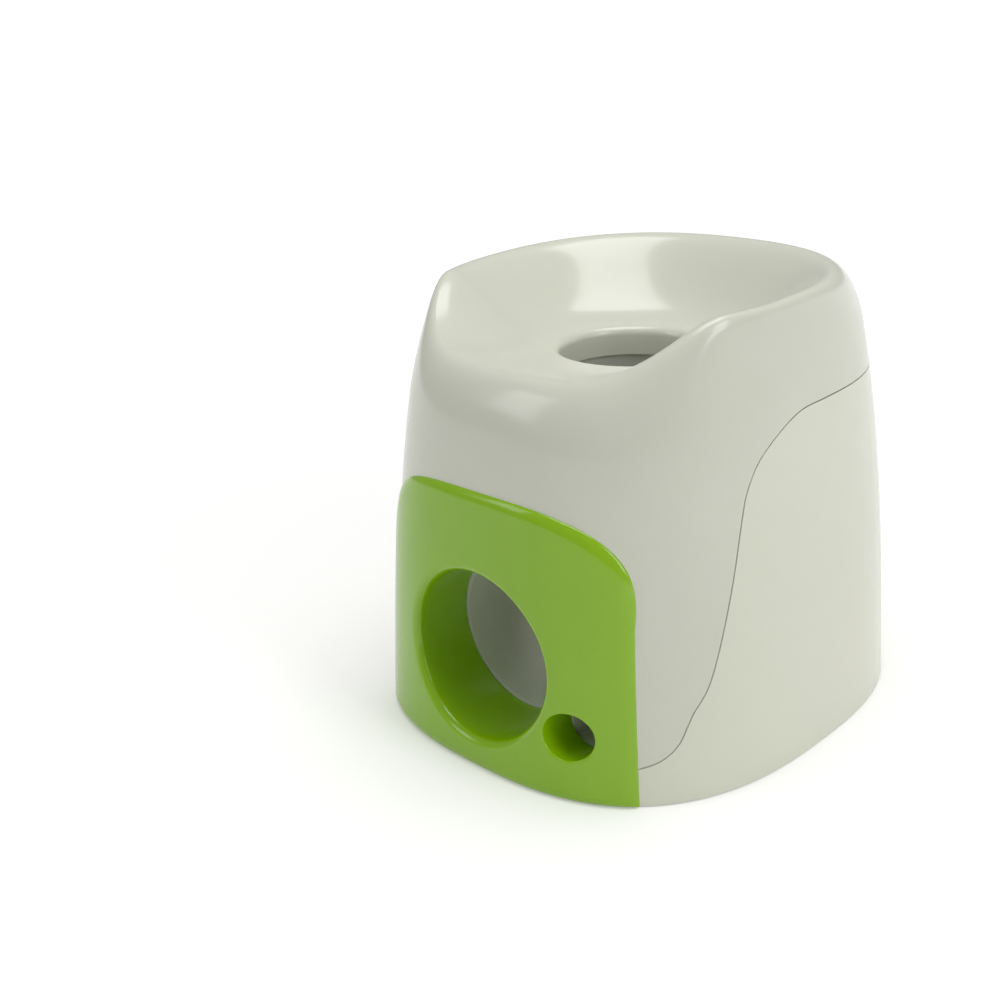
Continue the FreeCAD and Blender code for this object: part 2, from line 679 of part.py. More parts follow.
def make_hopper():
    body = hopper_block(0, 0).cut(hopper_block(HOPPER_T, HOPPER_T))
    body = body.cut(box(-60, 120, -120, 140, HOPPER_TOP - 0.5, 220))
    mouth = box(DRUM_X0 + 3, MOUTH_X1, DRUM_Y - MOUTH_HALF, DRUM_Y + MOUTH_HALF, 80, MOUTH_Z + HOPPER_T + 1)
    body = body.cut(mouth)
    inlet = box(-DOOR_HALF + 4, DOOR_HALF - 4, 95, 120, INLET_LOW, HOPPER_TOP + 5)
    front_tab = box(80, OUTER_PLATE_X + PLATE_T, DRUM_Y - 6, DRUM_Y + 6, MOUTH_Z, MOUTH_Z + HOPPER_T)
    side_tab = box(PLATE_X, 57, 20, 30, 127.8, 130.2)
    return merge([body.cut(inlet), front_tab.cut(hopper_block(HOPPER_T, HOPPER_T)), side_tab])


def make_treat_chute():
    """Open trough from under the drum down to the spout."""
    top_y = DRUM_Y + 22
    pinion_tip = MODULE * (PINION_TEETH / 2.0 + TOOTH_TIP)
    rim = DRUM_Z - max(DRUM_R, pinion_tip) - 1.5
    low = rim - TROUGH_DEPTH
    end_low = TREAT_Z - TREAT_R - SPOUT_WALL
    side = TREAT_R + 0.6
    outer = loft_box((DRUM_X0 - 2.5, DRUM_X1 + 1.0, top_y, low, rim),
                     (TREAT_X - side, TREAT_X + side + 2, SPOUT_END + FIT, end_low, rim + 1.5))
    inner = loft_box((DRUM_X0 - 0.9, DRUM_X1 - 0.6, top_y - SPOUT_WALL, low + SPOUT_WALL, rim + 20),
                     (TREAT_X - side + SPOUT_WALL, TREAT_X + side + 0.4, SPOUT_END - 0.5,
                      end_low + SPOUT_WALL, rim + 20))
    return outer.cut(inner)


def loft_box(rear, front):
    wires = []
    for x0, x1, y, z0, z1 in (rear, front):
        corners = [V(x0, y, z0), V(x1, y, z0), V(x1, y, z1), V(x0, y, z1), V(x0, y, z0)]
        wires.append(Part.makePolygon(corners))
    return Part.makeLoft(wires, True, True)


# Rear door

def pin_y():
    return rear_y(0, DOOR_LOW) + KNUCKLE_R + 0.3


def latch_spring_y():
    return rear_y(0, DOOR_HIGH) - WALL - LATCH_CLEAR - 1.0


def door_block(grow):
    return round_box(-DOOR_HALF - grow, DOOR_HALF + grow, 60, 180, DOOR_LOW - grow, DOOR_HIGH + grow,
                     DOOR_CORNER + grow)


def make_door(wall):
    panel = wall.common(door_block(0))
    knuckles = [rod(KNUCKLE_R, x0, x1, pin_y(), PIN_Z) for x0, x1 in DOOR_KNUCKLES]
    webs = [box(x0, x1, rear_y(x1, PIN_Z) - 0.8, pin_y(), DOOR_LOW, DOOR_LOW + 4)
            for x0, x1 in DOOR_KNUCKLES]
    ledge = box(-4, 4, latch_spring_y() - 2.6, rear_y(0, LEDGE_TOP) - WALL + 1, LEDGE_TOP - 2, LEDGE_TOP)
    body = panel.fuse(knuckles + webs + [ledge])
    body = body.cut(rod(PIN_R + RUN, -60, 60, pin_y(), PIN_Z))
    slot = box(-LATCH_TAB - 0.4, LATCH_TAB + 0.4, 60, 180, TAB_LOW - LATCH_TRAVEL - 0.4, TAB_HIGH + 0.4)
    return body.cut(slot)


def make_latch():
    face = rear_y(0, DOOR_HIGH) - WALL - LATCH_CLEAR
    plate = box(-LATCH_HALF, LATCH_HALF, face - 2.0, face, LATCH_LOW, DOOR_HIGH + 2.2)
    tab = box(-LATCH_TAB, LATCH_TAB, face - 1, face + WALL + LATCH_CLEAR + 2.4, TAB_LOW, TAB_HIGH)
    return plate.fuse(tab)


# Base

def make_base():
    ring = []
    for i in range(AROUND):
        x, y = superellipse(2 * math.pi * i / AROUND, half_x(PLATE_LOW) - WALL - FIT,
                            half_y(PLATE_LOW) - WALL - FIT, BODY_SQUARE)
        ring.append(V(x, y, PLATE_LOW))
    curve = Part.BSplineCurve()
    curve.interpolate(ring, PeriodicFlag=True)
    plate = Part.Face(Part.Wire([curve.toShape()])).extrude(V(0, 0, PLATE_THICK))
    for x, y in FEET:
        plate = plate.cut(upright(FOOT_STEM_R, 0, 20, x, y))
    for x, y in BASE_SCREWS:
        plate = plate.cut(upright(SCREW_R + 0.2, 0, 20, x, y))
    for side in (-1, 1):
        for y in BRACKET_SCREWS:
            plate = plate.cut(upright(SCREW_R + 0.2, 0, 20, side * BRACKET_SCREW_X, y))
    for y in OUTER_SCREWS:
        plate = plate.cut(upright(SCREW_R + 0.2, 0, 20, OUTER_SCREW_X, y))
    relief = along_y(TUNNEL_R + TUNNEL_WALL + 1, -170, TUNNEL_END + 2, 0, EXIT_Z)
    return plate.cut(relief)


def foot(x, y):
    pad = upright(FOOT_R, 0, PLATE_LOW, x, y)
    stem = upright(FOOT_STEM_R, PLATE_LOW, FRAME_LOW, x, y)
    bulb = upright(FOOT_STEM_R + 1, FRAME_LOW, FRAME_LOW + FOOT_BULB, x, y)
    return merge([pad, stem, bulb])


def make_shafts():
    """Paddle shaft, drum shaft and idler stud."""
    iy, iz = idler_centre()
    paddle = rod(SHAFT_R, -PLATE_X - PLATE_T - 3.5, GEAR_X + GEAR_T + 2.2, PIVOT_Y, PIVOT_Z)
    drum = rod(SHAFT_R, PLATE_X - 1.5, OUTER_PLATE_X + PLATE_T + 2.2, DRUM_Y, DRUM_Z)
    stud = rod(SHAFT_R, PLATE_X, GEAR_X + GEAR_T + 2.2, iy, iz)
    return paddle, drum, stud


def make_bushes():
    """Flanged bushes of both shafts, in the brackets."""
    outer = OUTER_PLATE_X + PLATE_T
    return {
        "paddle_bushes": [bush(PLATE_X, PLATE_X + PLATE_T, PIVOT_Y, PIVOT_Z, 1),
                          bush(-PLATE_X - PLATE_T, -PLATE_X, PIVOT_Y, PIVOT_Z, -1)],
        "drum_bushes": [bush(PLATE_X, PLATE_X + PLATE_T, DRUM_Y, DRUM_Z, 1),
                        bush(OUTER_PLATE_X, outer, DRUM_Y, DRUM_Z, -1)],
    }


def make_stop():
    """Rubber buffer on the right bracket that the paddle's tail comes to rest on."""
    return box(TAIL_X0 - 1, PLATE_X, PIVOT_Y + 10, PIVOT_Y + 15, PIVOT_Z - 5, PIVOT_Z - FIT)


def make_hinge_pin():
    pin = rod(PIN_R, -34, 34, pin_y(), PIN_Z)
    head = rod(PIN_R + 1, -35.2, -34, pin_y(), PIN_Z)
    return pin.fuse(head)


def make_latch_spring():
    """Small compression spring under the latch."""
    y = latch_spring_y()
    height = LATCH_LOW - LEDGE_TOP - 2 * LATCH_WIRE_R - 0.1
    wire = Part.Wire(Part.makeHelix(height / LATCH_TURNS, height, LATCH_COIL_R).Edges)
    first = wire.Edges[0]
    start = first.valueAt(first.FirstParameter)
    ring = Part.Wire([Part.makeCircle(LATCH_WIRE_R, start, first.tangentAt(first.FirstParameter))])
    coil = wire.makePipeShell([ring], True, True)
    coil.translate(V(0, y, LEDGE_TOP + LATCH_WIRE_R + 0.05))
    return coil


def make_seal():
    """Soft seal round the door's edge, on the inside of the tub."""
    outer = door_block(SEAL_OUT)
    inner = door_block(-SEAL_IN)
    latch_room = box(-LATCH_HALF - 1, LATCH_HALF + 1, 60, 140, DOOR_HIGH - 3, DOOR_HIGH + 8)
    band = skin_solid(-WALL - 0.05, -WALL - 0.05 - SEAL_T).common(outer).cut(inner.fuse(latch_room))
    keep = [s for s in band.Solids if s.BoundBox.YMin > 60]
    return max(keep, key=lambda s: s.Volume)


def make_wiper():
    """Silicone wiper at the hopper's mouth that levels the pocket."""
    rear = DRUM_Y + MOUTH_HALF
    return box(DRUM_X0 + 3, MOUTH_X1, rear + FIT, rear + 2.3, DRUM_Z + DRUM_R - 3.5, MOUTH_Z - 0.05)


if __name__ == "__main__":
    upper, tub = make_shells()
    save("upper_shell", upper)
    save("rear_tub", tub)
    save("front_bezel", make_bezel())
    left, right = make_chute()
    save("ball_chute_left", left)
    save("ball_chute_right", right)
    save("ball_paddle", make_paddle())
    sector, idler, pinion = make_gears()
    save("sector_gear", sector)
    save("idler_gear", idler)
    save("drum_pinion", pinion)
    save("dosing_drum", make_drum())
    save("left_bracket", make_bracket(-1))
    save("right_bracket", make_bracket(1))
    save("outer_bracket", make_outer_bracket())
    save("return_spring", make_spring())
    save("treat_hopper", make_hopper())
    save("treat_chute", make_treat_chute())
    save("refill_door", make_door(skin_solid(0, -WALL)))
    save("door_latch", make_latch())
    save("base_plate", make_base())
    save("rubber_feet", Part.makeCompound([foot(x, y) for x, y in FEET]))
    paddle_shaft, drum_shaft, stud = make_shafts()
    save("paddle_shaft", paddle_shaft)
    save("drum_shaft", drum_shaft)
    save("idler_stud", stud)
    for name, solids in make_bushes().items():
        save(name, Part.makeCompound(solids))
    iy, iz = idler_centre()
    end_x = GEAR_X + GEAR_T + CLIP_GAP
    save("paddle_clips", Part.makeCompound([
        clip(-PLATE_X - PLATE_T - BUSH_FLANGE - CLIP_GAP - CLIP_T, PIVOT_Y, PIVOT_Z),
        clip(end_x, PIVOT_Y, PIVOT_Z)]))
    save("idler_clip", clip(end_x, iy, iz))
    save("drum_clip", clip(OUTER_PLATE_X + PLATE_T + CLIP_GAP, DRUM_Y, DRUM_Z))
    save("stop_bumper", make_stop())
    save("door_hinge_pin", make_hinge_pin())
    save("latch_spring", make_latch_spring())
    save("door_seal", make_seal())
    save("mouth_wiper", make_wiper())
    screws = [screw(x, y, PLATE_LOW, BASE_SCREW_LEN) for x, y in BASE_SCREWS]
    save("base_screws", Part.makeCompound(screws))
    places = [(side * BRACKET_SCREW_X, y) for side in (-1, 1) for y in BRACKET_SCREWS]
    places += [(OUTER_SCREW_X, y) for y in OUTER_SCREWS]
    screws = [screw(x, y, PLATE_LOW, BRACKET_SCREW_LEN) for x, y in places]
    save("bracket_screws", Part.makeCompound(screws))
    save("chute_screws", Part.makeCompound([chute_screw(y, z) for y, z in CHUTE_LUGS]))
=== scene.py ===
import json
import math
import bmesh
import bpy
from mathutils import Matrix, Vector


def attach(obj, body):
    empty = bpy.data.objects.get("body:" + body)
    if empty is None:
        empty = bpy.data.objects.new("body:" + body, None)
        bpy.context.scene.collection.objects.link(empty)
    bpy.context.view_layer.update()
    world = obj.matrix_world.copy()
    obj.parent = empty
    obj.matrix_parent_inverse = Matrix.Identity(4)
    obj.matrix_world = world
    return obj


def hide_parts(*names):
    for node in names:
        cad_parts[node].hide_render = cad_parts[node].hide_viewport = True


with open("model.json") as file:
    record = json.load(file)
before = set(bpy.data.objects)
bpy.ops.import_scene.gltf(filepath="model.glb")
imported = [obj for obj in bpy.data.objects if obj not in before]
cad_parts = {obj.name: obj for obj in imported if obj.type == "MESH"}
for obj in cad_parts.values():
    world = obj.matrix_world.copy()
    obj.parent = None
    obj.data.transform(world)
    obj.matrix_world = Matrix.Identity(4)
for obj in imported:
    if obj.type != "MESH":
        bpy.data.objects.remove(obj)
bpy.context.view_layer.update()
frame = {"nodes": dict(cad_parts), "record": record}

# Main shell: one injection-moulded ABS skin, 2.6 mm thick. It runs up the wall, over the soft rim,
# down into the dish and into the throat. A seam on each side parts it into an upper shell and a rear
# tub, which meet with a fine gap and are held together from inside.
MM = 0.001
WALL = 2.6 * MM
SHELL_AROUND = 256
SHELL_LIFT = 0.6 * MM
BODY_HALF = (117.2 * MM, 131.8 * MM)
BODY_POWER = 2.64
BODY_TAPER = (0.10, 0.07)
TOP_TAPER = 0.08
TAPER_HEIGHT = 200 * MM
RIM_HALF = (92.6 * MM, 93.3 * MM)
RIM_POWER = 2.32
RIM_Y = -8.8 * MM
RIM_HEIGHT = 228.0 * MM
RIM_TILT = 6.0 * MM
RIM_DIP = 26.5 * MM
DIP_START = 0.45
SHOULDER = 33.0 * MM
SHOULDER_RISE = 0.63
SHOULDER_REACH = 6.9 * MM
LEAN_SPAN = 4 * MM
DISH_FLOOR = 188.0 * MM
DISH_REACH = 7.0 * MM
DISH_STEEP = 0.12
LIP_REACH = 26.0 * MM
THROAT_R = 37.0 * MM
THROAT_Y = -7.7 * MM
THROAT_LIP = 4.5 * MM
THROAT_END = 173.0 * MM
WALL_RINGS = 40
SHOULDER_RINGS = 16
DISH_RINGS = 22
THROAT_RINGS = 3
EXIT_Z = 59.1 * MM
EXIT_HOLE_R = 44.9 * MM
TREAT = Vector((55 * MM, 0, 34 * MM))
TREAT_HOLE_R = 13.9 * MM
FRONT_CUT = (-170 * MM, -60 * MM)
SEAM = [(-108.6, 19), (-99.4, 23), (-91.7, 31), (-85.3, 45), (-76.3, 60.6), (-65, 97), (-55.4, 133),
        (-50.5, 146), (-41.6, 157.5), (-26.6, 166.7), (-10, 172.4), (8, 173.3), (30, 173.5)]
SEAM_GAP = 0.7 * MM
SEAM_STEPS = 8
SEAM_SHARP = 32
BEYOND = 400 * MM
CORE_MARGIN = 12 * MM
CORE_HEIGHT = 150 * MM
CORE_MIDDLE = 175 * MM
CLOUD_SIZE = 18 * MM
CLOUD_SWING = 0.06
PEEL_DEPTH = 0.05 * MM
PLASTIC_IOR = 1.53
GLOW_DEPTH = (2 * MM, 2 * MM, 1.5 * MM)


def half_sizes(z):
    """The body's half width and half depth at a height."""
    s = z / TAPER_HEIGHT
    return [half * (1 - taper * s - TOP_TAPER * s ** 3) for half, taper in zip(BODY_HALF, BODY_TAPER)]


def superellipse(angle, halves, power):
    c = abs(math.cos(angle) / halves[0]) ** power
    s = abs(math.sin(angle) / halves[1]) ** power
    r = (c + s) ** (-1 / power)
    return Vector((r * math.cos(angle), r * math.sin(angle), 0))


def wall_point(angle, z):
    return superellipse(angle, half_sizes(z), BODY_POWER) + Vector((0, 0, z))


def smooth(u):
    u = min(max(u, 0.0), 1.0)
    return u * u * (3 - 2 * u)


def bezier(p0, p1, p2, p3, t):
    s = 1 - t
    return p0 * s ** 3 + p1 * (3 * t * s * s) + p2 * (3 * t * t * s) + p3 * t ** 3


def quarter_turn(steps):
    """The angles that divide a quarter turn, without its start."""
    return [math.radians(90 * i / steps) for i in range(1, steps + 1)]


def shell_section(angle):
    """Points of the outer skin at one angle, from the base to the end of the throat."""
    rim = superellipse(angle, RIM_HALF, RIM_POWER)
    forward = -rim.y / RIM_HALF[1]
    drop = RIM_TILT * (1 + forward) / 2 + RIM_DIP * smooth((forward - DIP_START) / (1 - DIP_START))
    crest = rim + Vector((0, RIM_Y, RIM_HEIGHT - drop))
    out = rim.normalized()
    top = crest.z - SHOULDER
    points = [wall_point(angle, SHELL_LIFT + (top - SHELL_LIFT) * i / WALL_RINGS) for i in range(WALL_RINGS)]
    wall_end = wall_point(angle, top)
    lean = (wall_end - wall_point(angle, top - LEAN_SPAN)).normalized()
    reach = wall_end + lean * (SHOULDER * SHOULDER_RISE)
    points += [bezier(wall_end, reach, crest + out * SHOULDER_REACH, crest, i / SHOULDER_RINGS)
               for i in range(SHOULDER_RINGS + 1)]
    ray = Vector((math.cos(angle), math.sin(angle), 0))
    lip = Vector((0, THROAT_Y, DISH_FLOOR)) + ray * (THROAT_R + THROAT_LIP)
    inwards = out * (DISH_REACH + DISH_STEEP * (crest.z - DISH_FLOOR))
    points += [bezier(crest, crest - inwards, lip + ray * LIP_REACH, lip, i / DISH_RINGS)
               for i in range(1, DISH_RINGS + 1)]
    for t in quarter_turn(6):
        points.append(Vector((0, THROAT_Y, DISH_FLOOR - THROAT_LIP * (1 - math.cos(t))))
                      + ray * (THROAT_R + THROAT_LIP * (1 - math.sin(t))))
    lip_low = DISH_FLOOR - THROAT_LIP
    for i in range(1, THROAT_RINGS + 1):
        z = lip_low + (THROAT_END - lip_low) * i / THROAT_RINGS
        points.append(Vector((0, THROAT_Y, z)) + ray * THROAT_R)
    return points


def loft(around, section):
    """Tube extruded ring by ring from a circle; section(angle) gives the points from end to end."""
    bm = bmesh.new()
    turn = bm.verts.layers.float.new("turn")
    bmesh.ops.create_circle(bm, segments=around, radius=1.0)
    for v in bm.verts:
        v[turn] = math.atan2(v.co.y, v.co.x)
    sections = {v[turn]: section(v[turn]) for v in bm.verts}
    for v in bm.verts:
        v.co = sections[v[turn]][0]
    edges = bm.edges[:]
    rings = len(next(iter(sections.values())))
    for i in range(1, rings):
        made = bmesh.ops.extrude_edge_only(bm, edges=edges)["geom"]
        fresh = {g for g in made if isinstance(g, bmesh.types.BMVert)}
        for v in fresh:
            v.co = sections[v[turn]][i]
        edges = [g for g in made if isinstance(g, bmesh.types.BMEdge) and set(g.verts) <= fresh]
    return bm


def piece(name, bm, material=None):
    """Turns a bmesh into an object of the scene."""
    bmesh.ops.recalc_face_normals(bm, faces=bm.faces)
    data = bpy.data.meshes.new(name)
    bm.to_mesh(data)
    bm.free()
    obj = bpy.data.objects.new(name, data)
    bpy.context.scene.collection.objects.link(obj)
    if material:
        data.materials.append(material)
    smooth_by_angle(data)
    return obj


def smooth_by_angle(data, degrees=40):
    """Smooth where the surface turns by less than the angle."""
    data.shade_smooth()
    data.set_sharp_from_angle(angle=math.radians(degrees))


def thicken(obj, wall, even):
    """Gives a skin its wall, inwards."""
    thick = obj.modifiers.new("wall", "SOLIDIFY")
    thick.thickness = wall
    thick.offset = -1.0
    thick.use_even_offset = even
    settle(obj)


def settle(obj, degrees=40):
    """Applies the modifiers to the mesh."""
    graph = bpy.context.evaluated_depsgraph_get()
    data = bpy.data.meshes.new_from_object(obj.evaluated_get(graph), preserve_all_data_layers=True,
                                           depsgraph=graph)
    obj.modifiers.clear()
    obj.data = data
    smooth_by_angle(data, degrees)


def carve(obj, *tools, operation="DIFFERENCE", degrees=40):
    """Cuts the tools out of a piece, or keeps what they hold of it, and removes them."""
    for tool in tools:
        cut = obj.modifiers.new("cut", "BOOLEAN")
        cut.operation = operation
        cut.solver = "EXACT"
        cut.object = tool
    settle(obj, degrees)
    for tool in tools:
        bpy.data.objects.remove(tool)


def round_bar(radius, middle, length, turn):
    """Plain round tool, upright until it is turned."""
    bm = bmesh.new()
    bmesh.ops.create_cone(bm, cap_ends=True, segments=96, radius1=radius, radius2=radius, depth=length,
                          matrix=Matrix.Translation(middle) @ turn)
    return piece("tool", bm)


def front_bar(radius, x, z):
    """Round tool that cuts a hole into the front."""
    middle = (x, (FRONT_CUT[0] + FRONT_CUT[1]) / 2, z)
    return round_bar(radius, middle, FRONT_CUT[1] - FRONT_CUT[0], Matrix.Rotation(math.radians(90), 4, "X"))


def through(points, steps):
    """Smooth line through the points, each span divided into steps."""
    line = []
    for i in range(len(points) - 1):
        p0, p1 = points[max(i - 1, 0)], points[i]
        p2, p3 = points[i + 1], points[min(i + 2, len(points) - 1)]
        for k in range(steps):
            t = k / steps
            line.append(0.5 * ((2 * p1) + (p2 - p0) * t + (2 * p0 - 5 * p1 + 4 * p2 - p3) * t * t
                               + (3 * p1 - p0 - 3 * p2 + p3) * t ** 3))
    return line + [points[-1]]


def below_seam(rise):
    """Tool that fills all below the seam, raised by rise along its normal, but not the throat."""
    line = through([Vector((0, y * MM, z * MM)) for y, z in SEAM], SEAM_STEPS)
    raised = []
    for i, p in enumerate(line):
        along = (line[min(i + 1, len(line) - 1)] - line[max(i - 1, 0)]).normalized()
        raised.append(p + Vector((0, -along.z, along.y)) * rise)
    outline = [Vector((0, -BEYOND, raised[0].z)), *raised, Vector((0, BEYOND, raised[-1].z)),
               Vector((0, BEYOND, -BEYOND)), Vector((0, -BEYOND, -BEYOND))]
    bm = bmesh.new()
    face = bm.faces.new([bm.verts.new(p - Vector((BEYOND, 0, 0))) for p in outline])
    grown = bmesh.ops.extrude_face_region(bm, geom=[face])["geom"]
    bmesh.ops.translate(bm, vec=(2 * BEYOND, 0, 0),
                        verts=[g for g in grown if isinstance(g, bmesh.types.BMVert)])
    tool = piece("tool", bm)
    core = round_bar(THROAT_R + CORE_MARGIN, (0, THROAT_Y, CORE_MIDDLE), CORE_HEIGHT, Matrix())
    carve(tool, core)
    return tool


def rgb(hex_colour):
    """Linear colour from an sRGB hex value."""
    def linear(c):
        return c / 12.92 if c <= 0.04045 else ((c + 0.055) / 1.055) ** 2.4
    return tuple(linear(int(hex_colour[i:i + 2], 16) / 255) for i in (0, 2, 4)) + (1.0,)


def add(owner, kind, links=(), **settings):
    """Adds a node, sets its values by name and links other outputs to its inputs."""
    node = owner.node_tree.nodes.new(kind)
    for name, value in settings.items():
        if hasattr(node, name):
            setattr(node, name, value)
        else:
            node.inputs[name.replace("_", " ")].default_value = value
    for socket, source in links:
        owner.node_tree.links.new(source, node.inputs[socket])
    return node


def new_material(name):
    material = bpy.data.materials.new(name)
    material.use_nodes = True
    material.node_tree.nodes.clear()
    return material


def moulded(name, colour, shade, roughness, peel_mm, peel, coat=0.0, subsurface=0.0):
    """Injection-moulded plastic: nearly even colour, faint clouding and a slight ripple in the gloss."""
    material = new_material(name)
    place = add(material, "ShaderNodeTexCoord").outputs["Object"]
    cloud = add(material, "ShaderNodeTexNoise", [("Vector", place)], Scale=1 / CLOUD_SIZE, Detail=5.0)
    tone = add(material, "ShaderNodeMix", [("Factor", cloud.outputs["Fac"])], data_type="RGBA", A=rgb(shade),
               B=rgb(colour))
    ripple = add(material, "ShaderNodeTexNoise", [("Vector", place)], Scale=1 / (peel_mm * MM), Detail=1.0)
    rough = add(material, "ShaderNodeMapRange", [("Value", cloud.outputs["Fac"])],
                To_Min=roughness * (1 - CLOUD_SWING), To_Max=roughness * (1 + CLOUD_SWING))
    bump = add(material, "ShaderNodeBump", [("Height", ripple.outputs["Fac"])], Strength=peel,
               Distance=PEEL_DEPTH)
    shader = add(material, "ShaderNodeBsdfPrincipled", [
        ("Base Color", tone.outputs["Result"]), ("Roughness", rough.outputs["Result"]),
        ("Normal", bump.outputs["Normal"])], IOR=PLASTIC_IOR, Coat_Weight=coat, Subsurface_Weight=subsurface,
        Subsurface_Radius=GLOW_DEPTH)
    add(material, "ShaderNodeOutputMaterial", [("Surface", shader.outputs["BSDF"])])
    return material


# ABS from a polished mould: soft wide highlights over a pale, slightly green white. The tub is drawn in the
# same ABS painted a shade lighter and yellower: painted light for the brighter right and back, so the seam
# shows as a change of tone too.
shell_abs = moulded("ABS, moulded gloss, shell white", "D8DACB", "D5D7C8", 0.20, 2.5, 0.10, coat=0.15)
tub_abs_painted_lighter = moulded("ABS, moulded gloss, tub white painted lighter", "DFE1D0", "DCDECD", 0.21, 2.5, 0.10, coat=0.15)

whole_shell = piece("whole_shell", loft(SHELL_AROUND, shell_section), shell_abs)
thicken(whole_shell, WALL, even=True)
carve(whole_shell, front_bar(EXIT_HOLE_R, 0, EXIT_Z), front_bar(TREAT_HOLE_R, TREAT.x, TREAT.z))

upper_shell = bpy.data.objects.new("upper_shell_skin", whole_shell.data.copy())
rear_tub = bpy.data.objects.new("rear_tub_skin", whole_shell.data.copy())
# The tub gets the shell's white painted a shade lighter: painted light.
rear_tub.data.materials[0] = tub_abs_painted_lighter
bpy.data.objects.remove(whole_shell)
for half in (upper_shell, rear_tub):
    bpy.context.scene.collection.objects.link(half)
carve(upper_shell, below_seam(SEAM_GAP), degrees=SEAM_SHARP)
carve(rear_tub, below_seam(0.0), operation="INTERSECT", degrees=SEAM_SHARP)

# Doorway and hinge of the refill door: a round-cornered opening in the back of the tub, and the three
# knuckles moulded on below it, bored for the hinge pin, each on a short web that stands on the wall.
# They are of the tub's own ABS.
DOOR_HALF = 34.0 * MM
DOOR_LOW = 128.0 * MM
DOOR_HIGH = 165.0 * MM
DOOR_GAP = 0.5 * MM
DOOR_CORNER = 6.0 * MM
DOORWAY_CUT = (60 * MM, 180 * MM)
KNUCKLE_R = 3.2 * MM
KNUCKLE_CLEAR = 0.3 * MM
PIN_BORE = 1.31 * MM
PIN_Z = DOOR_LOW - 1 * MM
PIN_Y = half_sizes(DOOR_LOW)[1] + KNUCKLE_R + KNUCKLE_CLEAR
TUB_KNUCKLES = [(-34, -26.4), (-17.6, 17.6), (26.4, 34)]
WELD = 0.001 * MM


def block(bm, x0, x1, y0, y1, z0, z1):
    size = Matrix.Diagonal((x1 - x0, y1 - y0, z1 - z0, 1))
    place = Matrix.Translation(((x0 + x1) / 2, (y0 + y1) / 2, (z0 + z1) / 2))
    bmesh.ops.create_cube(bm, size=1.0, matrix=place @ size)


def front_y(x, z, proud=0.0):
    """Where the front of the wall is, along Y, when it is raised by proud. The back is its mirror."""
    a, b = half_sizes(z)
    a, b = a + proud, b + proud
    return -b * (1 - min(abs(x) / a, 0.999) ** BODY_POWER) ** (1 / BODY_POWER)


doorway = bmesh.new()
block(doorway, -DOOR_HALF - DOOR_GAP, DOOR_HALF + DOOR_GAP, *DOORWAY_CUT, DOOR_LOW - DOOR_GAP,
      DOOR_HIGH + DOOR_GAP)
half_depth = (DOORWAY_CUT[1] - DOORWAY_CUT[0]) / 2
along_y = [e for e in doorway.edges if abs((e.verts[0].co - e.verts[1].co).y) > half_depth]
bmesh.ops.bevel(doorway, geom=along_y, offset=DOOR_CORNER + DOOR_GAP, segments=10, affect="EDGES",
                profile=0.5, material=-1)
carve(rear_tub, piece("tool", doorway), degrees=SEAM_SHARP)

hinge = bmesh.new()
for x0, x1 in TUB_KNUCKLES:
    x0, x1 = x0 * MM, x1 * MM
    corners = [hinge.verts.new((x, PIN_Y, PIN_Z + r))
               for x, r in ((x0, PIN_BORE), (x1, PIN_BORE), (x1, KNUCKLE_R), (x0, KNUCKLE_R))]
    edges = [hinge.edges.new(pair) for pair in zip(corners, corners[1:] + corners[:1])]
    bmesh.ops.spin(hinge, geom=corners + edges, cent=(0, PIN_Y, PIN_Z), axis=(1, 0, 0), angle=math.tau,
                   steps=48, use_merge=True, use_duplicate=False)
    rear_y = -front_y(max(abs(x0), x1), PIN_Z)
    block(hinge, x0, x1, rear_y - WALL / 2, PIN_Y - PIN_BORE, PIN_Z - KNUCKLE_R, PIN_Z)
bmesh.ops.remove_doubles(hinge, verts=hinge.verts, dist=WELD)
# The knuckles take the tub's white, painted a shade lighter as painted light.
tub_knuckles = piece("tub_knuckles", hinge, tub_abs_painted_lighter)

for half, node, slot in ((upper_shell, "upper_shell", "shell_plastic"), (rear_tub, "rear_tub", "tub_plastic"),
                         (tub_knuckles, "rear_tub", "tub_plastic")):
    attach(half, "root")
    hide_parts(node)

# Front bezel: one lime green ABS moulding with a pillowed edge, an arched top and a wide tunnel with a
# rounded lip for the ball. It is screwed on from inside and stands 2.4 mm proud of the shell.
BEZEL_PROUD = 2.4 * MM
BEZEL_EDGE = 7.0 * MM
BEZEL_THICK = 2.2 * MM
BEZEL_TUCK = 1.6 * MM
BEZEL_SIT = 0.15 * MM
BEZEL_AROUND = 384
BEZEL_FOOT = 84.2 * MM
BEZEL_SLOPE = 0.06
BEZEL_ARCH_Z = 88.0 * MM
BEZEL_ARCH_POWER = 3
BEZEL_TOP = 142.0 * MM
BEZEL_FAR = 160 * MM
BEZEL_SHARP = 35
TUNNEL_R = 42.2 * MM
TUNNEL_FLARE = 0.5 * MM
TUNNEL_END = -93.0 * MM
TUNNEL_RINGS = 8
PLATE_RINGS = 10
LIP_R = 5.0 * MM
LEAST_PLATE = 1 * MM
TREAT_R = 12.0 * MM
TREAT_LIP = 1.3 * MM


def bezel_half_width(z):
    if z <= BEZEL_ARCH_Z:
        return BEZEL_FOOT - BEZEL_SLOPE * z
    rise = min((z - BEZEL_ARCH_Z) / (BEZEL_TOP - BEZEL_ARCH_Z), 1.0)
    return (BEZEL_FOOT - BEZEL_SLOPE * BEZEL_ARCH_Z) * (1 - rise ** BEZEL_ARCH_POWER) ** (1 / BEZEL_ARCH_POWER)


def bezel_reach(angle):
    """Distance from the tunnel's axis to the bezel's outline at an angle, found by halving."""
    low, high = 0.0, BEZEL_FAR
    for _ in range(30):
        r = (low + high) / 2
        x, z = r * math.cos(angle), EXIT_Z + r * math.sin(angle)
        inside = SHELL_LIFT < z < BEZEL_TOP and abs(x) < bezel_half_width(z)
        low, high = (r, high) if inside else (low, r)
    return low


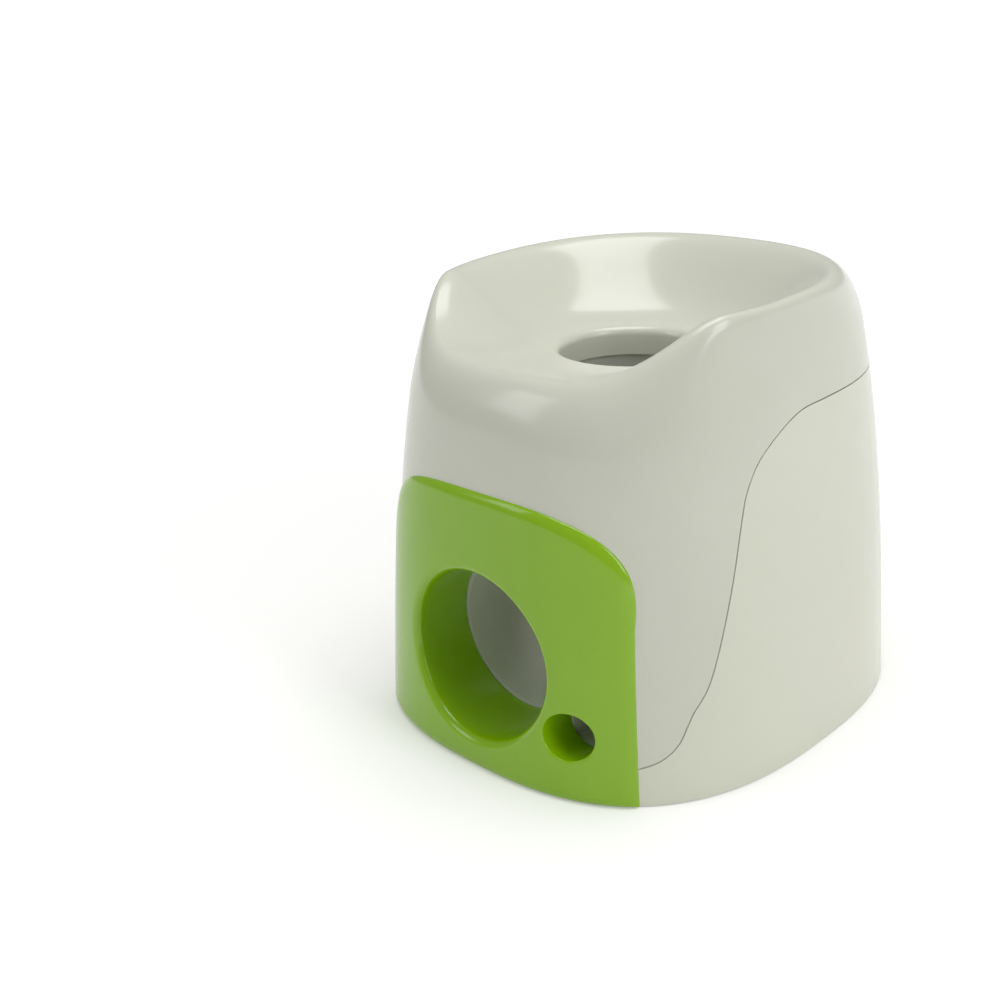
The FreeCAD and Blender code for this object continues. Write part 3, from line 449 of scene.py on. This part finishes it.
def bezel_section(angle):
    """From the outline inwards over the pillowed edge, across the front and into the tunnel."""
    corner = math.atan2(SHELL_LIFT - EXIT_Z, bezel_half_width(SHELL_LIFT))
    for exact in (corner, -math.pi - corner):
        if abs(angle - exact) < math.pi / BEZEL_AROUND:
            angle = exact
    reach = bezel_reach(angle)
    c, s = math.cos(angle), math.sin(angle)

    def at(r, proud):
        x, z = r * c, EXIT_Z + r * s
        return Vector((x, front_y(x, z, proud), z))

    points = [at(reach, -BEZEL_TUCK)]
    for t in [0.0] + quarter_turn(8):
        points.append(at(reach - BEZEL_EDGE * (1 - math.cos(t)),
                         BEZEL_SIT + (BEZEL_PROUD - BEZEL_SIT) * math.sin(t)))
    flat = reach - BEZEL_EDGE
    start = min(TUNNEL_R + LIP_R, flat - LEAST_PLATE)
    points += [at(flat + (start - flat) * i / PLATE_RINGS, BEZEL_PROUD) for i in range(1, PLATE_RINGS + 1)]
    for t in quarter_turn(8):
        r = TUNNEL_R + TUNNEL_FLARE + (start - TUNNEL_R - TUNNEL_FLARE) * (1 - math.sin(t))
        points.append(at(r, BEZEL_PROUD) + Vector((0, LIP_R * (1 - math.cos(t)), 0)))
    lip_y = points[-1].y
    for i in range(1, TUNNEL_RINGS + 1):
        u = i / TUNNEL_RINGS
        r = TUNNEL_R + TUNNEL_FLARE * (1 - u)
        points.append(Vector((r * c, lip_y + (TUNNEL_END - lip_y) * u, EXIT_Z + r * s)))
    return points


# ABS with its colour moulded in, from a mirror-polished mould: crisp highlights on a deep lime.
lime_abs = moulded("ABS, moulded high gloss, lime green", "8EBE04", "8ABA03", 0.17, 3.0, 0.08, coat=0.08)

bezel = piece("bezel_moulding", loft(BEZEL_AROUND, bezel_section), lime_abs)
thicken(bezel, BEZEL_THICK, even=False)
carve(bezel, front_bar(TREAT_R + TREAT_LIP, TREAT.x, TREAT.z), degrees=BEZEL_SHARP)

# Treat spout: the short round pipe beside the tunnel through which a portion of treats falls out. It
# is moulded in one with the bezel, of the same ABS, and its rounded lip is flush with the front.
SPOUT_AROUND = 96
SPOUT_WALL = 1.6 * MM
SPOUT_END = -108.0 * MM


def spout_section(angle):
    """From the spout's inner end, over its rounded lip, and back outside."""
    c, s = math.cos(angle), math.sin(angle)
    front = front_y(TREAT.x + (TREAT_R + TREAT_LIP) * c, TREAT.z + (TREAT_R + TREAT_LIP) * s, BEZEL_PROUD)
    lip = [(TREAT_R + TREAT_LIP * (1 - math.cos(t)), front + TREAT_LIP * (1 - math.sin(t)))
           for t in [0.0] + quarter_turn(6)]
    profile = [(TREAT_R, SPOUT_END), *lip, (TREAT_R + SPOUT_WALL, front + TREAT_LIP),
               (TREAT_R + SPOUT_WALL, SPOUT_END)]
    return [Vector((TREAT.x + r * c, y, TREAT.z + r * s)) for r, y in profile]


spout = loft(SPOUT_AROUND, spout_section)
bmesh.ops.bridge_loops(spout, edges=[e for e in spout.edges if e.is_boundary])
treat_spout = piece("treat_spout", spout, lime_abs)

for moulding in (bezel, treat_spout):
    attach(moulding, "root")
    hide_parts("front_bezel")


# Refill door and its latch: the door is a curved lid of the tub's ABS that swings down on its pin, and
# the latch is a lime green ABS tab that slides in it and hooks behind the edge of the doorway.
def finish(material, *slots):
    """Gives the material to the pieces whose row in the record names one of these slots."""
    for row in frame["record"]["subparts"]:
        if row["material_slot"] in slots:
            data = frame["nodes"][row["node"]].data
            data.materials.clear()
            data.materials.append(material)


# The door takes the tub's white, painted a shade lighter as painted light.
finish(tub_abs_painted_lighter, "tub_plastic")
finish(lime_abs, "green_plastic")

# Ball chute, treat chute and paddle: satin ABS mouldings. The elbow is made in two halves that are
# screwed together, and the paddle hangs in its slot on the paddle shaft. A fine-textured mould gives
# them a broad dull sheen in place of highlights.
finish(moulded("ABS, moulded satin, chute white", "D4D5CC", "CBCCC2", 0.42, 1.5, 0.15),
       "chute_plastic", "paddle_plastic")

# Gears and dosing drum: the sector, idler and pinion are moulded from acetal, which looks milky and
# waxy, and the drum from the bezel's lime ABS. Each is pressed on its shaft or turns on its stud.
finish(moulded("acetal, moulded natural white", "E8E6DA", "DEDCD0", 0.38, 1.2, 0.1, subsurface=0.1),
       "gear_plastic")
finish(lime_abs, "drum_plastic")

# Treat hopper: a bin moulded from unpigmented polypropylene, which lets a little light in and looks
# milky. It is open at the top, behind the refill door, and ends below in a mouth over the drum.
finish(moulded("polypropylene, moulded milky", "D9DCD8", "CFD3CF", 0.4, 1.6, 0.2, subsurface=0.25),
       "hopper_plastic")

# Brackets and base plate: dark grey satin ABS with a fine spark-eroded grain that hides scratches.
# The brackets carry the shafts and are screwed down, and the plate closes the body from below.
finish(moulded("ABS, moulded satin, dark grey", "4A4C4C", "434545", 0.5, 1.0, 0.3),
       "frame_plastic", "base_plastic")

# Bushes, feet and bumper: the bushes are moulded from black nylon and pressed into the brackets, and
# the feet and the bumper from rubber, glued or plugged in. Both look matt, with hardly a highlight.
BLACK = ("1C1C1D", "171718", 0.75, 0.8, 0.5)
finish(moulded("rubber, moulded matte black", *BLACK), "rubber")
finish(moulded("nylon, moulded matte black", *BLACK), "bush_plastic")

# Wiper and door seal: soft grey silicone, moulded in strips and pushed into place. It looks a little
# cloudy, as light goes some way in.
finish(moulded("silicone, moulded translucent grey", "A9ABA9", "9EA09E", 0.55, 1.0, 0.2, subsurface=0.3),
       "silicone")


# Shafts, pins, clips, springs and screws: turned, stamped, coiled or headed from steel. The metal has
# a fine grain from grinding, drawing or plating, which breaks up its highlight. The grain is drawn
# coarser than the real one, so that it shows.
def metal(name, colour, roughness, grain_mm):
    material = new_material(name)
    place = add(material, "ShaderNodeTexCoord")
    grain = add(material, "ShaderNodeTexNoise", [("Vector", place.outputs["Object"])],
                Scale=1 / (grain_mm * MM))
    rough = add(material, "ShaderNodeMapRange", [("Value", grain.outputs["Fac"])], To_Min=roughness * 0.8,
                To_Max=roughness * 1.3)
    shader = add(material, "ShaderNodeBsdfPrincipled", [("Roughness", rough.outputs["Result"])],
                 Metallic=1.0, Base_Color=rgb(colour))
    add(material, "ShaderNodeOutputMaterial", [("Surface", shader.outputs["BSDF"])])
    return material


finish(metal("steel, ground bright", "C8C8C6", 0.25, 0.6), "steel")
finish(metal("steel, phosphated black", "48484A", 0.5, 0.5), "clip_steel")
finish(metal("spring steel, drawn wire", "B4B4B4", 0.3, 0.4), "spring_steel")
finish(metal("steel, zinc plated", "C2C6CC", 0.3, 0.5), "screw_steel")

# Camera: its lens, place and turn bring the outlines of the base, the holes and the rim to where the
# photograph has them, in a frame of 1000 by 1000 pixels.
FRAME_PX = 1000.0
SENSOR = 36.0
LENS_PX = 1306.6
TARGET_PX = (641.5, 483.9)
VIEW_AZIMUTH = math.radians(38.40)
VIEW_ELEVATION = math.radians(20.78)
VIEW_DISTANCE = 701.1 * MM
VIEW_TARGET = Vector((0, 0, 110 * MM))

camera_data = bpy.data.cameras.new("camera")
camera = bpy.data.objects.new("camera", camera_data)
bpy.context.scene.collection.objects.link(camera)
bpy.context.scene.camera = camera
camera_data.sensor_width = SENSOR
camera_data.lens = LENS_PX / FRAME_PX * SENSOR
camera_data.clip_start = 50 * MM
back = Vector((math.sin(VIEW_AZIMUTH) * math.cos(VIEW_ELEVATION),
               -math.cos(VIEW_AZIMUTH) * math.cos(VIEW_ELEVATION), math.sin(VIEW_ELEVATION)))
side = Vector((0, 0, 1)).cross(back).normalized()
to_camera = Matrix((side, back.cross(side), back))
target_ray = Vector((TARGET_PX[0] - FRAME_PX / 2, FRAME_PX / 2 - TARGET_PX[1], -LENS_PX)).normalized()
aim = Vector((0, 0, -1)).rotation_difference(target_ray).to_matrix() @ to_camera
camera.matrix_world = Matrix.Translation(VIEW_TARGET + back * VIEW_DISTANCE) @ aim.transposed().to_4x4()
bpy.context.scene.view_settings.view_transform = "Standard"

# Floor: matt white paper. A glow that only the eye, reflections and glass see makes up for the lamps'
# fall-off with distance, so that the paper is white all over and keeps the object's shadow.
FLOOR_HALF = 30.0
GLOW_NEAR, GLOW_FAR = 0.23, 0.74
GLOW_FROM, GLOW_TO = 100 * MM, 1800 * MM

paper = new_material("paper, matt white")
seen = add(paper, "ShaderNodeLightPath").outputs
eye = add(paper, "ShaderNodeMath", [(0, seen["Is Camera Ray"]), (1, seen["Is Glossy Ray"])],
          operation="MAXIMUM")
eye = add(paper, "ShaderNodeMath", [(0, eye.outputs[0]), (1, seen["Is Transmission Ray"])],
          operation="MAXIMUM")
spot = add(paper, "ShaderNodeTexCoord")
distance = add(paper, "ShaderNodeVectorMath", [("Vector", spot.outputs["Object"])], operation="LENGTH")
lift = add(paper, "ShaderNodeMapRange", [("Value", distance.outputs["Value"])], From_Min=GLOW_FROM,
           From_Max=GLOW_TO, To_Min=GLOW_NEAR, To_Max=GLOW_FAR)
power = add(paper, "ShaderNodeMath", [(0, eye.outputs[0]), (1, lift.outputs["Result"])], operation="MULTIPLY")
glow = add(paper, "ShaderNodeEmission", [("Strength", power.outputs[0])], Color=(1, 1, 1, 1))
matt = add(paper, "ShaderNodeBsdfDiffuse", Color=rgb("F2F2F0"))
both = add(paper, "ShaderNodeAddShader", [(0, matt.outputs[0]), (1, glow.outputs[0])])
add(paper, "ShaderNodeOutputMaterial", [("Surface", both.outputs[0])])

floor_mesh = bmesh.new()
bmesh.ops.create_grid(floor_mesh, x_segments=1, y_segments=1, size=FLOOR_HALF)
floor_data = bpy.data.meshes.new("floor")
floor_mesh.to_mesh(floor_data)
floor_mesh.free()
floor = bpy.data.objects.new("floor", floor_data)
bpy.context.scene.collection.objects.link(floor)
floor_data.materials.append(paper)

# Studio light: a white room, dimmer as a light than it looks, and three soft boxes that are turned to
# the object. The one above makes the wide highlights on the rim and in the dish.
ROOM_LIGHT, ROOM_SEEN = 0.34, 1.0

world = bpy.data.worlds.new("studio")
bpy.context.scene.world = world
world.use_nodes = True
world.node_tree.nodes.clear()
camera_ray = add(world, "ShaderNodeLightPath").outputs["Is Camera Ray"]
strength = add(world, "ShaderNodeMapRange", [("Value", camera_ray)], To_Min=ROOM_LIGHT, To_Max=ROOM_SEEN)
air = add(world, "ShaderNodeBackground", [("Strength", strength.outputs["Result"])], Color=(1, 1, 1, 1))
add(world, "ShaderNodeOutputWorld", [("Surface", air.outputs["Background"])])


def soft_box(name, place, size, power):
    data = bpy.data.lights.new(name, "AREA")
    data.shape = "RECTANGLE"
    data.size, data.size_y = size
    data.energy = power
    lamp = bpy.data.objects.new(name, data)
    lamp.location = place
    lamp.rotation_mode = "QUATERNION"
    lamp.rotation_quaternion = (VIEW_TARGET - Vector(place)).to_track_quat("-Z", "Y")
    bpy.context.scene.collection.objects.link(lamp)


soft_box("top box", (0.10, 0.10, 1.60), (1.0, 1.0), 12.0)
soft_box("front box", (-0.65, -1.05, 0.80), (0.45, 0.7), 2.2)
soft_box("right box", (1.30, 0.00, 0.75), (0.45, 0.9), 5.0)
